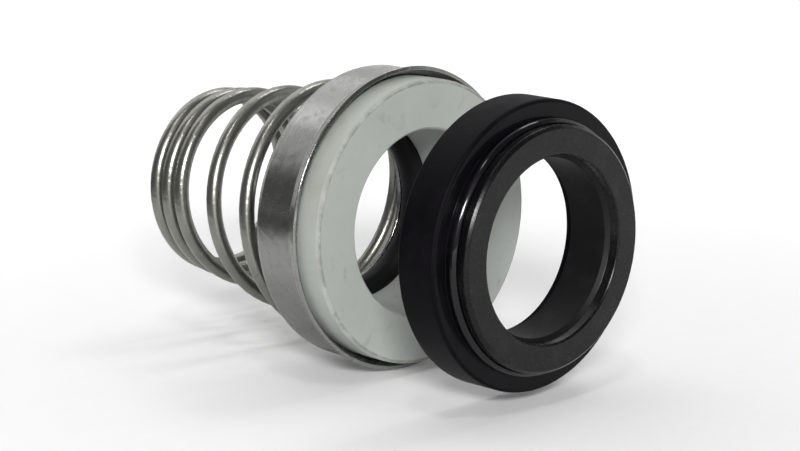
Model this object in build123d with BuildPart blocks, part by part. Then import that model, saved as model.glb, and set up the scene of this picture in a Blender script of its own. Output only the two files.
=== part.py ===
from build123d import *
import math
import os

os.makedirs("parts", exist_ok=True)

# Driving sizes, mm. The shaft axis is X. X=0 is the middle of the seat's outer wall, where the housing grips it.
shaft_d = 16.0

# Stationary seat: a carbon ring held in a rubber boot.
carbon_clear = 0.45
carbon_wall = 3.15
boot_len = 4.5
boot_wall = 2.11
boot_floor = 0.9
boot_round = 0.35
boot_bore_clear = 0.35
bead_wall = 0.46
bead_len = 1.0
bead_gap = 0.04
nose_len = 2.1
nose_bevel = 0.3
counterbore_step = 0.4
counterbore_len = 1.0
counterbore_bevel = 0.15

# Rotary face ring of white ceramic, standing clear of the seat.
halves_gap = 10.4
ring_clear = 1.05
ring_wall = 4.85
ring_len = 8.2
ring_bevel = 0.3
ring_back_bevel = 0.75
spigot_len = 0.7
spigot_clear = 0.28

# Pressed steel cup that holds the face ring and the O-ring.
sheet = 0.45
cup_clear = 0.1
ring_out = 2.3
lip_flare = 0.5
lip_len = 1.1
cup_bend = 0.9
collar_clear = 0.3

# O-ring on the shaft, which stretches it.
oring_d = 3.0
oring_stretch = 0.4
oring_clear = 0.03

# Conical spring of round wire. It narrows from the cup to the shaft.
wire_d = 1.5
coil_clear = 0.03
coil_inset = 1.475
spring_len = 21.85
coil_turns = 5.42
start_turns = -0.17
dead_turns = 2.32
dead_pitch = 2.1
opening_turns = 0.7
closing_turns = 0.65
growth_ratio = 0.5
points_per_turn = 16

# Stations along the axis, from the nose of the seat back to the small end of the spring.
boot_back_x = -boot_len / 2
boot_front_x = boot_len / 2
carbon_back_x = boot_back_x + boot_floor
nose_x = boot_front_x + nose_len
face_x = boot_back_x - halves_gap
lip_x = face_x - ring_out
ring_back_x = face_x - ring_len
spigot_x = ring_back_x - spigot_len
floor_mid_x = ring_back_x - sheet / 2
floor_back_x = ring_back_x - sheet
oring_x = spigot_x - oring_clear - oring_d / 2
collar_mid_x = oring_x - oring_d / 2 - oring_clear - sheet / 2
large_end_x = floor_back_x - coil_clear - wire_d / 2
small_end_x = large_end_x - spring_len

# Radii and turns that follow from the driving sizes.
carbon_bore_r = shaft_d / 2 + carbon_clear
carbon_r = carbon_bore_r + carbon_wall
counterbore_r = carbon_bore_r + counterbore_step
boot_bore_r = carbon_bore_r + boot_bore_clear
bead_in_r = carbon_r + bead_gap
bead_r = bead_in_r + bead_wall
seat_r = bead_in_r + boot_wall
ring_bore_r = shaft_d / 2 + ring_clear
ring_r = ring_bore_r + ring_wall
cup_mid_r = ring_r + cup_clear + sheet / 2
oring_r = shaft_d / 2 - oring_stretch + oring_d / 2
pocket_r = oring_r + oring_d / 2 + oring_clear
neck_mid_r = pocket_r + sheet / 2
spigot_r = pocket_r - spigot_clear
collar_r = shaft_d / 2 + collar_clear
small_coil_r = shaft_d / 2 + coil_clear + wire_d / 2
large_coil_r = cup_mid_r - coil_inset
end_turns = start_turns + coil_turns
open_turns = start_turns + dead_turns + opening_turns / 2

# Rubber boot: a cup with a rounded bead round its mouth, moulded in one piece.
with BuildPart() as seat_boot:
    with BuildSketch(Plane.XZ):
        with BuildLine():
            wall = FilletPolyline(
                (boot_back_x, boot_bore_r),
                (boot_back_x, seat_r),
                (boot_front_x, seat_r),
                (boot_front_x, bead_r),
                radius=boot_round,
            )
            EllipticalCenterArc(
                (boot_front_x, bead_in_r), bead_len, bead_r - bead_in_r, start_angle=0, arc_size=90
            )
            Polyline(
                (boot_front_x + bead_len, bead_in_r),
                (carbon_back_x, bead_in_r),
                (carbon_back_x, boot_bore_r),
                wall @ 0,
            )
        make_face()
    revolve(axis=Axis.X)
seat_boot.part.label = "seat_boot"
export_step(seat_boot.part, "parts/seat_boot.step")

# Carbon ring: turned, with a lapped nose, a bevelled rim and a shallow counterbore.
with BuildPart() as seat_ring:
    with BuildSketch(Plane.XZ):
        with BuildLine():
            Polyline(
                (carbon_back_x, carbon_bore_r),
                (carbon_back_x, carbon_r),
                (nose_x - nose_bevel, carbon_r),
                (nose_x, carbon_r - nose_bevel),
                (nose_x, counterbore_r + counterbore_bevel),
                (nose_x - counterbore_bevel, counterbore_r),
                (nose_x - counterbore_len, counterbore_r),
                (nose_x - counterbore_len - counterbore_step, carbon_bore_r),
                close=True,
            )
        make_face()
    revolve(axis=Axis.X)
seat_ring.part.label = "seat_ring"
export_step(seat_ring.part, "parts/seat_ring.step")

# Ceramic face ring: a thick ring with a spigot behind it that presses on the O-ring.
with BuildPart() as face_ring:
    with BuildSketch(Plane.XZ):
        with BuildLine():
            Polyline(
                (face_x, ring_bore_r),
                (face_x, ring_r - ring_bevel),
                (face_x - ring_bevel, ring_r),
                (ring_back_x + ring_back_bevel, ring_r),
                (ring_back_x, ring_r - ring_back_bevel),
                (ring_back_x, spigot_r),
                (spigot_x, spigot_r),
                (spigot_x, ring_bore_r),
                close=True,
            )
        make_face()
    revolve(axis=Axis.X)
face_ring.part.label = "face_ring"
export_step(face_ring.part, "parts/face_ring.step")

# Pressed cup: one drawn sheet, from the flared lip over the floor to the neck and its collar.
with BuildPart() as retainer_cup:
    with BuildSketch(Plane.XZ):
        with BuildLine():
            FilletPolyline(
                (lip_x, cup_mid_r + lip_flare),
                (lip_x - lip_len, cup_mid_r),
                (floor_mid_x, cup_mid_r),
                (floor_mid_x, neck_mid_r),
                (collar_mid_x, neck_mid_r),
                (collar_mid_x, collar_r),
                radius=cup_bend,
            )
        trace(line_width=sheet)
    revolve(axis=Axis.X)
retainer_cup.part.label = "retainer_cup"
export_step(retainer_cup.part, "parts/retainer_cup.step")

# Moulded O-ring between the spigot and the collar.
with BuildPart() as shaft_oring:
    with BuildSketch(Plane.XZ):
        with Locations((oring_x, oring_r)):
            Circle(oring_d / 2)
    revolve(axis=Axis.X)
shaft_oring.part.label = "shaft_oring"
export_step(shaft_oring.part, "parts/shaft_oring.step")

# Spring path. The dead coils lie close together, the open coils follow, and the last turn closes on the cup.
steps = round(coil_turns * points_per_turn)
turns = [start_turns + coil_turns * i / steps for i in range(steps + 1)]


def eased(turn, middle, width):
    share = min(max((turn - middle) / width + 0.5, 0), 1)
    return share * share * (3 - 2 * share)


def summed(law):
    total = [0.0]
    for before, after in zip(turns, turns[1:]):
        total.append(total[-1] + (law(before) + 4 * law((before + after) / 2) + law(after)) / 6)
    return [value * coil_turns / steps for value in total]


def still_open(turn):
    return 1 - eased(turn, end_turns - closing_turns / 2, closing_turns)


def opened(turn):
    return eased(turn, open_turns, opening_turns) * still_open(turn)


dead_rise = [dead_pitch * value for value in summed(still_open)]
open_rise = summed(opened)
extra_pitch = (spring_len - dead_rise[-1]) / open_rise[-1]
path_points = []
for turn, dead, more in zip(turns, dead_rise, open_rise):
    height = dead + extra_pitch * more
    part_way = height / spring_len
    grown = part_way * (growth_ratio + (1 - growth_ratio) * part_way)
    radius = small_coil_r + (large_coil_r - small_coil_r) * grown
    angle = 2 * math.pi * turn
    path_points.append((small_end_x + height, radius * math.cos(angle), radius * math.sin(angle)))
with BuildPart() as conical_spring:
    with BuildLine() as coil:
        Spline(*path_points)
    with BuildSketch(Plane(origin=coil.line @ 0, z_dir=coil.line % 0)):
        Circle(wire_d / 2)
    sweep(path=coil.line)
conical_spring.part.label = "conical_spring"
export_step(conical_spring.part, "parts/conical_spring.step")
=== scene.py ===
import math

import bmesh
import bpy
from mathutils import Matrix, Vector


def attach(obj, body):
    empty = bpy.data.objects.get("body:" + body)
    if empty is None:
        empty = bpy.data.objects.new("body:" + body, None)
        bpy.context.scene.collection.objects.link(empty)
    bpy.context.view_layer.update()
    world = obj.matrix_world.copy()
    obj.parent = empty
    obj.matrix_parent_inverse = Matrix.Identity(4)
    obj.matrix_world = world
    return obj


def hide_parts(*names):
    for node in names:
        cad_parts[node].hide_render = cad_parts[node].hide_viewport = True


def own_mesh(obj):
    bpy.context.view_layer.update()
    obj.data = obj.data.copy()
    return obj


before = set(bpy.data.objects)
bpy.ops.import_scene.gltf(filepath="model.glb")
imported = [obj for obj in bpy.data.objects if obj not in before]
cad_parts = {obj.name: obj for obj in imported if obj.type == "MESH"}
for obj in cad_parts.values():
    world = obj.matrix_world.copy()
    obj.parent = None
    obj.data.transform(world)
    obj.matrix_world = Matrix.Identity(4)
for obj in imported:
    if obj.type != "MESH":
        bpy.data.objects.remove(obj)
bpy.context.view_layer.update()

# Face ring: a thick ring of white alumina, fired and ground, with its front face lapped flat and bright.
# It is pushed into the cup from the front, and its spigot stands behind it to press on the O-ring.
mm = 0.001
touching = 1e-7
shaft = 16.0
ring_front = -12.65
ring_back = ring_front - 8.2
ring_bore = shaft / 2 + 1.05
ring_outer = ring_bore + 4.85
ring_bevel = 0.3
back_bevel = 0.75
bore_bevel = 0.22
spigot_back = ring_back - 0.7
spigot_outer = 10.35
ground = 0.03
fired = 0.1
spigot_root = 0.05
ring_section = [
    (ring_front, ring_bore + bore_bevel, ground),
    (ring_front, ring_outer - ring_bevel, ground),
    (ring_front - ring_bevel, ring_outer, ground),
    (ring_back + back_bevel, ring_outer, fired),
    (ring_back, ring_outer - back_bevel, fired),
    (ring_back, spigot_outer, spigot_root),
    (spigot_back, spigot_outer, fired),
    (spigot_back, ring_bore, fired),
    (ring_front - bore_bevel, ring_bore, ground),
]


def spun(bm, section, steps):
    """Sweeps a section, given as its vertices and edges, a full turn about the shaft axis."""
    bmesh.ops.spin(
        bm, geom=section, cent=(0, 0, 0), axis=(1, 0, 0), angle=2 * math.pi, steps=steps, use_merge=True
    )
    bmesh.ops.remove_doubles(bm, verts=bm.verts, dist=touching)
    bmesh.ops.recalc_face_normals(bm, faces=bm.faces)


def on_circle(edge, x, radius):
    """Whether an edge lies on the circle about the shaft axis that a corner of a section makes."""
    return all(
        abs(v.co.x - x * mm) < touching and abs(math.hypot(v.co.y, v.co.z) - radius * mm) < touching
        for v in edge.verts
    )


def turned(section, closed=True, steps=180):
    """Spins a half-section and rounds its corners. Each of its corners is (x, radius, rounding) in mm."""
    bm = bmesh.new()
    corners = [bm.verts.new((x * mm, 0, radius * mm)) for x, radius, rounding in section]
    ends = corners[1:] + corners[:1] if closed else corners[1:]
    outline = [bm.edges.new(pair) for pair in zip(corners, ends)]
    spun(bm, corners + outline, steps)
    for x, radius, rounding in section:
        if rounding:
            circle = [edge for edge in bm.edges if on_circle(edge, x, radius)]
            bmesh.ops.bevel(
                bm, geom=circle, offset=rounding * mm, affect="EDGES", segments=4, profile=0.5, material=-1
            )
    return bm


def placed(name, data):
    """Puts a mesh, a lamp or a lens into the scene as an object."""
    made = bpy.data.objects.new(name, data)
    bpy.context.scene.collection.objects.link(made)
    return made


def meshed(bm, name, finish):
    """Makes the shape an object at the origin, in its finish."""
    mesh = bpy.data.meshes.new(name)
    bm.to_mesh(mesh)
    bm.free()
    mesh.materials.append(finish.material)
    return placed(name, mesh)


def finished(bm, name, finish, node, body):
    """Makes the shape a smooth piece in its finish, in place of its CAD node and riding on its body."""
    piece = meshed(bm, name, finish)
    piece.data.shade_smooth()
    piece.modifiers.new("flat_faces", "WEIGHTED_NORMAL")
    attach(piece, body)
    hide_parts(node)
    return piece


def maths(operation):
    """The two methods of a Field for one operator: with the field first, and with it second."""

    def forward(field, other):
        return field.finish.node("Math", {"operation": operation}, {0: field, 1: other})

    def reflected(field, other):
        return field.finish.node("Math", {"operation": operation}, {0: other, 1: field})

    return forward, reflected


class Field:
    """One socket of a finish. An expression on fields adds the Math nodes that it needs."""

    def __init__(self, finish, socket):
        self.finish = finish
        self.socket = socket

    __add__, __radd__ = maths("ADD")
    __sub__, __rsub__ = maths("SUBTRACT")
    __mul__, __rmul__ = maths("MULTIPLY")
    __truediv__, __rtruediv__ = maths("DIVIDE")
    __pow__, __rpow__ = maths("POWER")


class Finish:
    """The node material of one piece, with the patterns that several finishes share."""

    def __init__(self, name):
        self.material = bpy.data.materials.new(name)
        self.material.use_nodes = True
        self.tree = self.material.node_tree
        self.tree.nodes.clear()
        self.place = self.node("TexCoord", {}, {}, "Object")
        self.x, self.y, self.z = [self.node("SeparateXYZ", {}, {0: self.place}, axis) for axis in "XYZ"]

    def node(self, kind, settings, sockets, output=0):
        """Adds a node: first its settings, then its sockets. Gives the output asked for, if it has one."""
        made = self.tree.nodes.new("ShaderNode" + kind)
        for name, value in settings.items():
            setattr(made, name, value)
        for name, value in sockets.items():
            if isinstance(value, Field):
                self.tree.links.new(value.socket, made.inputs[name])
            else:
                made.inputs[name].default_value = value
        return Field(self, made.outputs[output]) if len(made.outputs) else None

    def distance(self, first, second):
        """How far a point lies from the line where both of these measures of it are zero."""
        return (first * first + second * second) ** 0.5

    def noise(self, scale, detail=3.0, roughness=0.5, distortion=0.0, place=None):
        """A cloudy pattern from 0 to 1, read at the point itself or at another place."""
        return self.node(
            "TexNoise",
            {},
            {
                "Vector": place or self.place,
                "Scale": scale,
                "Detail": detail,
                "Roughness": roughness,
                "Distortion": distortion,
            },
        )

    def step(self, field, low, high):
        """A smooth rise from 0 where the field is low to 1 where it is high."""
        limits = {"Value": field, "From Min": low, "From Max": high}
        return self.node("MapRange", {"interpolation_type": "SMOOTHSTEP"}, limits)

    def near(self, field, middle, width):
        """1 where the field is at the middle, falling to 0 at the width on both sides."""
        away = self.node("Math", {"operation": "ABSOLUTE"}, {0: field - middle})
        return 1 - self.step(away, 0.0, width)

    def mixed(self, share, first, second):
        """The first colour where the share is 0, and the second where it is 1."""
        return self.node("Mix", {"data_type": "RGBA"}, {0: share, 6: first, 7: second}, 2)

    def stretched(self, x, y, z):
        """The place with each axis scaled, for marks that run one way."""
        return self.node("Mapping", {}, {"Vector": self.place, "Scale": (x, y, z)})

    def bump(self, height, depth, normal=None):
        """A relief of this depth in metres, on top of another relief where one is given."""
        sockets = {"Height": height, "Distance": depth, "Strength": 1.0}
        if normal:
            sockets["Normal"] = normal
        return self.node("Bump", {}, sockets)

    def surface(self, **sockets):
        """Ends the finish: each named socket of the surface gets its value or its field."""
        named = {name.replace("_", " "): value for name, value in sockets.items()}
        shader = self.node("BsdfPrincipled", {}, named)
        self.node("OutputMaterial", {}, {"Surface": shader})


alumina = Finish("white_alumina")
shade_white = (0.385, 0.415, 0.385, 1)
clean_white = (0.475, 0.505, 0.47, 1)
stained = (0.395, 0.40, 0.35, 1)
smudged = (0.26, 0.27, 0.245, 1)
specked = (0.20, 0.20, 0.18, 1)
# Painted shade: the ground outer chamfer is tinted darker all round, which dulls the lamps' highlight on it.
chamfer_shade = (0.30, 0.315, 0.285, 1)
# The tone of the broken dark lines below: part wear, part painted shade.
wear_and_shade_tone = (0.15, 0.155, 0.135, 1)
out = alumina.distance(alumina.y, alumina.z)
cloud = alumina.noise(160, 4.0, 0.6)
smudge = alumina.step(alumina.noise(420, 6.0, 0.65, 0.6), 0.56, 0.78)
speck = alumina.step(alumina.noise(2600, 2.0, 0.5), 0.68, 0.76)
bevel_back = ring_front - ring_bevel
at_front = alumina.step(alumina.x, (bevel_back - 0.06) * mm, bevel_back * mm)
outer_edge = alumina.near(out, (ring_outer - 0.18) * mm, 0.3 * mm) * at_front
corner_line = alumina.near(out, (ring_outer - ring_bevel) * mm, 0.13 * mm) * at_front
bore_edge = alumina.near(out, (ring_bore + 0.1) * mm, 0.25 * mm) * at_front
ground_edge = outer_edge + bore_edge
in_bore = 1 - alumina.step(out, ring_bore * mm, (ring_bore + 0.1) * mm)
# Painted shade: a dark line inside the bore, just behind its bevel, where a step would be.
bore_line = alumina.near(alumina.x, (ring_front - 0.4) * mm, 0.09 * mm) * in_bore
broken = alumina.step(alumina.noise(520, 5.0, 0.7), 0.36, 0.6)
# Broken dark lines: wear on the face's outer corner, painted shade inside the bore, and wear with painted
# shade that dulls the highlight on the ground chamfers.
wear_and_shade_lines = (ground_edge * 0.4 + corner_line * 0.5 + bore_line * 0.6) * broken
on_side = alumina.step(out, (ring_outer - 0.3) * mm, (ring_outer - 0.05) * mm)
stain = on_side * alumina.step(alumina.noise(130, 4.0, 0.65, 0.4), 0.42, 0.7)
white = alumina.mixed(cloud, shade_white, clean_white)
white = alumina.mixed(stain * 0.8, white, stained)
white = alumina.mixed(smudge * 0.45, white, smudged)
white = alumina.mixed(speck * 0.4, white, specked)
# Painted shade on the outer chamfer.
white = alumina.mixed(outer_edge * 0.3, white, chamfer_shade)
white = alumina.mixed(wear_and_shade_lines, white, wear_and_shade_tone)
alumina.surface(
    Base_Color=white,
    Roughness=0.4 + cloud * 0.1 + smudge * 0.12 + ground_edge * 0.3,
    IOR=1.6,
    Normal=alumina.bump(alumina.noise(5200, 3.0, 0.6), 0.004 * mm),
)
finished(turned(ring_section), "ceramic_ring", alumina, "face_ring", "head")

# O-ring: moulded nitrile rubber, with the fine parting line that the mould leaves outside and in the bore.
# It lies between the ring's spigot and the cup's collar, and grips the shaft.
cord = 3.0
oring_clear = 0.03
oring_grip = 0.4
oring_x = spigot_back - oring_clear - cord / 2
oring_radius = shaft / 2 - oring_grip + cord / 2
parting_line = 0.02
on_parting = 0.01
cord_middle = Vector((oring_x, 0, oring_radius)) * mm
along_shaft = Matrix.Rotation(math.pi / 2, 4, "X")
section_place = Matrix.Translation(cord_middle) @ along_shaft
bm = bmesh.new()
bmesh.ops.create_circle(bm, segments=48, radius=cord / 2 * mm, matrix=section_place)
for v in bm.verts:
    if abs(v.co.x - cord_middle.x) < on_parting * mm:
        v.co.z += math.copysign(parting_line * mm, v.co.z - cord_middle.z)
spun(bm, bm.verts[:] + bm.edges[:], steps=144)
nitrile = Finish("black_nitrile")
skin = nitrile.noise(900, 4.0, 0.6)
dusty = nitrile.step(nitrile.noise(350, 5.0, 0.6), 0.5, 0.75)
nitrile.surface(
    Base_Color=nitrile.mixed(dusty, (0.003, 0.003, 0.0035, 1), (0.009, 0.009, 0.0095, 1)),
    Roughness=0.4 + skin * 0.2,
    Specular_IOR_Level=0.25,
    Normal=nitrile.bump(skin, 0.01 * mm),
)
finished(bm, "moulded_oring", nitrile, "shaft_oring", "head")

# Cup: one thin disc of stainless steel, drawn over a punch into a lip, a wall, a floor, a neck and a collar,
# and polished. The ring slides into its wide end, and the spring's large end sits on its floor.
# Its section runs along the middle of the sheet.
sheet = 0.45
bend = 0.9
ring_clear = 0.1
cup_wall = ring_outer + ring_clear + sheet / 2
cup_floor = ring_back - sheet / 2
lip_front = ring_front - 2.3
lip_flare = 0.5
lip_length = 1.1
lip_bend = bend * math.tan(math.atan2(lip_flare, lip_length) / 2)
neck = oring_radius + cord / 2 + oring_clear + sheet / 2
collar_back = oring_x - cord / 2 - oring_clear - sheet / 2
collar_bore = shaft / 2 + 0.3
cup_section = [
    (lip_front, cup_wall + lip_flare, 0),
    (lip_front - lip_length, cup_wall, lip_bend),
    (cup_floor, cup_wall, bend),
    (cup_floor, neck, bend),
    (collar_back, neck, bend),
    (collar_back, collar_bore, 0),
]
steel = Finish("polished_steel")
bright_steel = (0.315, 0.315, 0.305, 1)
grimy_steel = (0.23, 0.23, 0.22, 1)
ripple = steel.noise(560, 3.0, 0.55, 0.6)
grime = steel.step(steel.noise(900, 6.0, 0.7, 0.4), 0.45, 0.75)
drawn_lines = steel.noise(1100, 3.0, 0.6, 0.0, steel.stretched(1.0, 0.12, 0.12))
relief = steel.bump(ripple, 0.038 * mm)
relief = steel.bump(drawn_lines, 0.014 * mm, relief)
steel.surface(
    Base_Color=steel.mixed(grime * 0.5, bright_steel, grimy_steel),
    Metallic=1.0,
    Roughness=0.21 + grime * 0.15,
    Normal=relief,
)
cup = finished(turned(cup_section, closed=False), "drawn_cup", steel, "retainer_cup", "head")
pressing = cup.modifiers.new("sheet", "SOLIDIFY")
pressing.thickness = sheet * mm
pressing.offset = 0
pressing.use_even_offset = True
rim = cup.modifiers.new("rim", "BEVEL")
rim.width = 0.1 * mm
rim.segments = 3
rim.limit_method = "ANGLE"
rim.angle_limit = math.radians(60)
cup.modifiers.move(cup.modifiers.find("flat_faces"), len(cup.modifiers) - 1)

# Spring: round stainless wire wound cold on a mandrel. Three close coils at its small end grip the shaft.
# The coils then open out to the cup, and the last turn closes up to sit flat on the cup's floor.
wire = 1.5
wire_clear = 0.03
length = 21.85
small_end = cup_floor - sheet / 2 - wire_clear - wire / 2 - length
small_coil = shaft / 2 + wire_clear + wire / 2
large_coil = 12.75
first_turn = -0.17
last_turn = 5.25
opens_at = 2.5
opening = 0.7
closing = 0.65
close_pitch = 2.1
early_growth = 0.5
end_rounding = 0.12
sharp_angle = 1.0
steps_a_turn = 64
stations = round((last_turn - first_turn) * steps_a_turn)
step = (last_turn - first_turn) / stations
turns = [first_turn + step * i for i in range(stations + 1)]


def eased(turn, middle, width):
    """A smooth rise from 0 to 1 that is centred on one turn and takes a width of turns."""
    share = min(max((turn - middle) / width + 0.5, 0), 1)
    return share * share * (3 - 2 * share)


still_open = [1 - eased(turn, last_turn - closing / 2, closing) for turn in turns]
opened = [eased(turn, opens_at, opening) * share for turn, share in zip(turns, still_open)]
close_rise = [0.0]
open_rise = [0.0]
for i in range(stations):
    close_rise.append(close_rise[-1] + close_pitch * (still_open[i] + still_open[i + 1]) / 2 * step)
    open_rise.append(open_rise[-1] + (opened[i] + opened[i + 1]) / 2 * step)
extra_pitch = (length - close_rise[-1]) / open_rise[-1]
coil = []
for turn, close, more in zip(turns, close_rise, open_rise):
    height = close + extra_pitch * more
    part_way = height / length
    growth = part_way * (early_growth + (1 - early_growth) * part_way)
    radius = small_coil + (large_coil - small_coil) * growth
    angle = 2 * math.pi * turn
    coil.append(Vector((small_end + height, radius * math.cos(angle), radius * math.sin(angle))) * mm)


def wire_place(i):
    """The matrix that carries a section of wire, drawn flat about the origin, to a station of the coil."""
    ahead = (coil[min(i + 1, stations)] - coil[max(i - 1, 0)]).normalized()
    outward = Vector((0, coil[i].y, coil[i].z)).normalized()
    outward = (outward - ahead * outward.dot(ahead)).normalized()
    return Matrix.Translation(coil[i]) @ Matrix((outward, ahead.cross(outward), ahead)).transposed().to_4x4()


bm = bmesh.new()
bmesh.ops.create_circle(bm, cap_ends=True, segments=24, radius=wire / 2 * mm, matrix=wire_place(0))
front = bm.edges[:]
for i in range(stations):
    grown = bmesh.ops.extrude_edge_only(bm, edges=front)["geom"]
    front = [item for item in grown if isinstance(item, bmesh.types.BMEdge)]
    moved = [item for item in grown if isinstance(item, bmesh.types.BMVert)]
    bmesh.ops.transform(bm, verts=moved, matrix=wire_place(i + 1) @ wire_place(i).inverted())
bmesh.ops.holes_fill(bm, edges=front)
bmesh.ops.recalc_face_normals(bm, faces=bm.faces)
rims = [edge for edge in bm.edges if len(edge.link_faces) == 2 and edge.calc_face_angle() > sharp_angle]
bmesh.ops.bevel(bm, geom=rims, offset=end_rounding * mm, affect="EDGES", segments=3, profile=0.5, material=-1)
spring_steel = Finish("drawn_wire")
bright_wire = (0.31, 0.31, 0.283, 1)
scaled_wire = (0.185, 0.18, 0.155, 1)
out = spring_steel.distance(spring_steel.y, spring_steel.z)
around = spring_steel.node("CombineXYZ", {}, {1: spring_steel.y / out, 2: spring_steel.z / out})
scale = spring_steel.step(spring_steel.noise(700, 6.0, 0.7), 0.45, 0.75)
patch = spring_steel.noise(150, 3.0, 0.6)
ribs = spring_steel.noise(26, 2.0, 0.6, 0.0, around)
relief = spring_steel.bump(ribs, 0.035 * mm)
relief = spring_steel.bump(spring_steel.noise(2200, 3.0, 0.6), 0.006 * mm, relief)
spring_steel.surface(
    Base_Color=spring_steel.mixed(scale * 0.5, bright_wire, scaled_wire),
    Metallic=1.0,
    Roughness=0.25 + patch * 0.1 + scale * 0.12,
    Normal=relief,
)
spring = finished(bm, "wound_spring", spring_steel, "conical_spring", "drive")
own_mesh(spring)

# Carbon ring: pressed and fired carbon, turned all over, with a lapped nose that the ceramic runs on.
# It is pushed into the boot, which holds it still, and its nose stands out past the boot's mouth.
boot_length = 4.5
boot_front = boot_length / 2
boot_back = -boot_length / 2
carbon_back = boot_back + 0.9
carbon_bore = shaft / 2 + 0.45
carbon_outer = carbon_bore + 3.15
nose = boot_front + 2.1
nose_bevel = 0.3
counterbore_step = 0.4
counterbore = carbon_bore + counterbore_step
counterbore_floor = nose - 1.0
counterbore_bevel = 0.15
carbon_section = [
    (carbon_back, carbon_bore, 0.05),
    (carbon_back, carbon_outer, 0.1),
    (nose - nose_bevel, carbon_outer, 0.06),
    (nose, carbon_outer - nose_bevel, 0.06),
    (nose, counterbore + counterbore_bevel, 0.04),
    (nose - counterbore_bevel, counterbore, 0.05),
    (counterbore_floor, counterbore, 0.05),
    (counterbore_floor - counterbore_step, carbon_bore, 0.06),
]
carbon = Finish("turned_carbon")
out = carbon.distance(carbon.y, carbon.z)
in_bore = 1 - carbon.step(out, (counterbore - 0.1) * mm, counterbore * mm)
grain = carbon.noise(1400, 5.0, 0.65)
dust = carbon.step(carbon.noise(380, 5.0, 0.6), 0.48, 0.75)
carbon.surface(
    Base_Color=carbon.mixed(dust, (0.0025, 0.0022, 0.0027, 1), (0.0095, 0.009, 0.0098, 1)),
    Roughness=0.2 + grain * 0.14 + in_bore * 0.3,
    Specular_IOR_Level=0.27,
    Normal=carbon.bump(grain, 0.008 * mm),
)
finished(turned(carbon_section), "carbon_ring", carbon, "seat_ring", "seat")

# Boot: black rubber moulded as a cup with a rounded bead round its mouth. It grips the carbon ring.
# Its smooth outer wall is pressed into the pump housing's bore, where it seals and stops the ring turning.
mouth = carbon_outer + 0.04
boot_outer = mouth + 2.11
boot_hole = carbon_bore + 0.35
boot_round = 0.35
bead = mouth + 0.46
bead_front = boot_front + 1.0
bead_slope_long = 0.3
bead_slope_deep = 0.34
boot_section = [
    (boot_back, boot_hole, 0.12),
    (boot_back, boot_outer, boot_round),
    (boot_front, boot_outer, boot_round),
    (boot_front, bead, 0.04),
    (bead_front - bead_slope_long, bead, 0.22),
    (bead_front, bead - bead_slope_deep, 0.05),
    (bead_front, mouth, 0),
    (carbon_back, mouth, 0),
    (carbon_back, boot_hole, 0.08),
]
rubber = Finish("boot_rubber")
bloom = rubber.step(rubber.noise(260, 5.0, 0.65), 0.45, 0.75)
pore = rubber.noise(3000, 3.0, 0.6)
on_bead = rubber.step(rubber.x, (boot_front - 0.05) * mm, (boot_front + 0.1) * mm)
rubber.surface(
    Base_Color=rubber.mixed(bloom, (0.0012, 0.0009, 0.0018, 1), (0.0042, 0.0034, 0.0055, 1)),
    Roughness=0.5 + bloom * 0.12 + pore * 0.08 - on_bead * 0.22,
    Specular_IOR_Level=0.08,
    Coat_Weight=on_bead * 0.6,
    Coat_Roughness=0.1,
    Normal=rubber.bump(pore, 0.012 * mm),
)
finished(turned(boot_section), "rubber_boot", rubber, "seat_boot", "seat")

# Floor: a plain sheet of pale matt card, lying just under the lowest point of the cup's lip.
# It glows for the camera and for polished parts, least near the seal, which paints shade round the seal on
# the floor and in the polished parts' reflections of it; farther off it glows more, so that it stays pale.
floor_z = -(cup_wall + lip_flare + sheet / 2) * mm
floor_reach = 3.0
matt = {"Roughness": 0.9, "Specular_IOR_Level": 0.1}


def tone(level):
    """A neutral colour."""
    return (level, level, level, 1)


def pale(finish):
    """The colour of pale card, with its faint grain."""
    return finish.mixed(finish.noise(900, 3.0), tone(0.86), tone(0.89))


def shown(finish):
    """1 where the camera, a polished part or glass shows the surface, and 0 in the light that it gives."""
    rays = ("Is Camera Ray", "Is Glossy Ray", "Is Transmission Ray")
    seen, mirrored, through = [finish.node("LightPath", {}, {}, ray) for ray in rays]
    return seen + mirrored + through


bm = bmesh.new()
bmesh.ops.create_grid(
    bm, x_segments=1, y_segments=1, size=floor_reach, matrix=Matrix.Translation((0, 0, floor_z))
)
card = Finish("pale_card")
away = card.distance(card.x, card.y)
# Painted shade: the glow is weakest near the seal and rises with distance from it.
glow_with_painted_shade = 0.07 + card.step(away, 0.0, 0.16) * 0.27 + card.step(away, 0.2, 1.6) * 0.3
card.surface(
    Base_Color=pale(card),
    Emission_Color=card.mixed(shown(card) * glow_with_painted_shade, tone(0), tone(1)),
    Emission_Strength=1.0,
    **matt,
)
meshed(bm, "floor", card)

# Studio: a dim room with a bright lamp in front of the seal, on the nose side, and two small lamps overhead.
# A wide soft ceiling over the spring's end and a faint window to the left fill the shadows.
room_level = 0.14
lamps_aim = Vector((-0.015, 0, 0))
world = bpy.data.worlds.new("room")
bpy.context.scene.world = world
world.use_nodes = True
world.node_tree.nodes["Background"].inputs["Color"].default_value = tone(room_level)
world.node_tree.nodes["Background"].inputs["Strength"].default_value = 1.0


def soft_box(name, toward, away, width, height, watts):
    """A lamp that lies in a direction from the seal, at a distance in metres, and faces it."""
    lamp = bpy.data.lights.new(name, "AREA")
    lamp.shape = "RECTANGLE"
    lamp.size = width
    lamp.size_y = height
    lamp.energy = watts
    box = placed(name, lamp)
    toward = Vector(toward).normalized()
    box.location = lamps_aim + toward * away
    box.rotation_euler = toward.to_track_quat("Z", "Y").to_euler()


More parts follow.
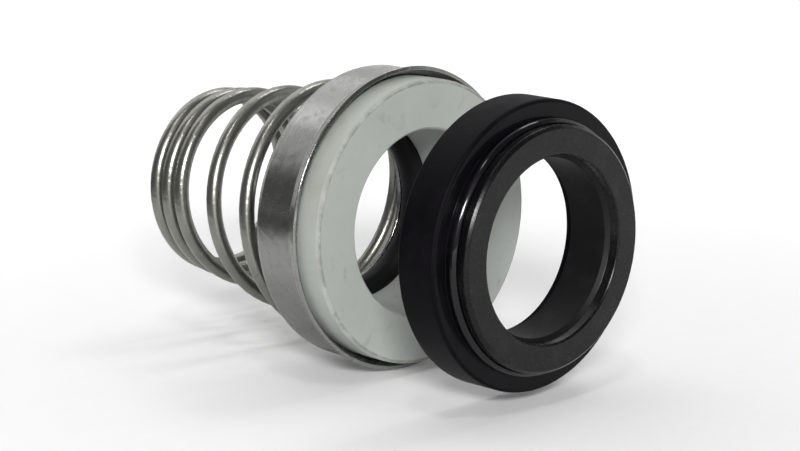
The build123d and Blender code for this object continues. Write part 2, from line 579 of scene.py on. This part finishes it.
soft_box("front_lamp", (0.68, -0.61, 0.42), away=0.8, width=0.22, height=0.13, watts=5.3)
soft_box("overhead_lamp", (0.25, -0.3, 0.92), away=0.8, width=0.1, height=0.1, watts=0.6)
soft_box("back_lamp", (0.0, 0.52, 0.85), away=0.8, width=0.2, height=0.2, watts=0.8)
soft_box("ceiling", (-0.5, 0.2, 0.8), away=0.9, width=0.9, height=0.9, watts=2.5)
soft_box("left_wall", (-0.8, -0.25, 0.55), away=1.1, width=0.7, height=0.5, watts=0.7)

# Backdrop: pale paper on a frame, standing in a wide curve behind the seal.
# It is what the tops of the polished parts show, and it closes the view along the floor.
post = Vector((-0.02, 0, 0))
paper_away = 1.0
paper_top = 0.7


def swept_card(name, finish, corners, start, sweep):
    """Sweeps a line of (distance, height) corners about a post just behind the seal's middle, in degrees."""
    bm = bmesh.new()
    line = [bm.verts.new((post.x + distance, 0, height)) for distance, height in corners]
    line += [bm.edges.new(pair) for pair in zip(line, line[1:])]
    bmesh.ops.spin(
        bm, geom=line, cent=post, axis=(0, 0, 1), angle=math.radians(sweep), steps=60, use_merge=False
    )
    bmesh.ops.rotate(bm, verts=bm.verts, cent=post, matrix=Matrix.Rotation(math.radians(start), 3, "Z"))
    swept = meshed(bm, name, finish)
    return swept


paper = Finish("backdrop_paper")
paper.surface(
    Base_Color=pale(paper),
    Emission_Color=paper.mixed(shown(paper), tone(0), tone(0.18)),
    Emission_Strength=1.0,
    **matt,
)
swept_card("backdrop", paper, [(paper_away, floor_z), (paper_away, paper_top)], start=50, sweep=150)

# Flags: a low dark strip and a grey card on the floor, curved round the left of the seal, seen only by
# polished surfaces.
# They are painted reflections: the faintly glowing strip paints the cup's dark band, and the card, darker
# near the seal, paints shade into the cup's lower half.
flag_away = 0.08
flag_top = 0.001
grey_start = 0.001
grey_height = floor_z + 0.01 * mm
dark_band_finish = Finish("reflected_dark_band")
# Painted reflection: a dark strip that glows faintly and is seen only in polished parts.
dark_band_finish.surface(
    Base_Color=dark_band_finish.mixed(dark_band_finish.noise(300, 3.0), tone(0.02), tone(0.04)),
    Emission_Color=tone(0.1),
    Emission_Strength=1.0,
    **matt,
)
reflected_shade_finish = Finish("reflected_shade_card")
apart = reflected_shade_finish.distance(reflected_shade_finish.x - post.x, reflected_shade_finish.y)
# Painted shade in reflections: the card is darker near the seal.
reflected_shade_finish.surface(Base_Color=reflected_shade_finish.mixed(reflected_shade_finish.step(apart, 0.008, 0.035), tone(0.56), tone(0.84)), **matt)
strip = [(flag_away, floor_z), (flag_away, flag_top)]
lying = [(grey_start, grey_height), (flag_away, grey_height)]
dark_band_flag = swept_card("dark_band_flag", dark_band_finish, strip, start=150, sweep=150)
reflected_shade_card = swept_card("reflected_shade_card", reflected_shade_finish, lying, start=110, sweep=190)
for flag in (dark_band_flag, reflected_shade_card):
    flag.visible_camera = False
    flag.visible_diffuse = False
    flag.visible_shadow = False

# Camera: a long lens that looks down a little on the nose side of the seal.
# It is aimed at the middle of the ceramic's face, then moved a little left and down to frame both halves.
azimuth = math.radians(46)
elevation = math.radians(12.3)
camera_away = 0.241
moved_left = 0.00238
moved_down = 0.0003
back = Vector(
    (math.cos(elevation) * math.sin(azimuth), -math.cos(elevation) * math.cos(azimuth), math.sin(elevation))
)
right = Vector((math.cos(azimuth), math.sin(azimuth), 0))
up = back.cross(right)
lens = bpy.data.cameras.new("camera")
lens.lens = 112.5
lens.clip_start = 0.01
lens.clip_end = 20
camera = placed("camera", lens)
camera.location = Vector((ring_front * mm, 0, 0)) + back * camera_away - right * moved_left - up * moved_down
camera.rotation_euler = back.to_track_quat("Z", "Y").to_euler()
bpy.context.scene.camera = camera
bpy.context.scene.view_settings.view_transform = "Standard"
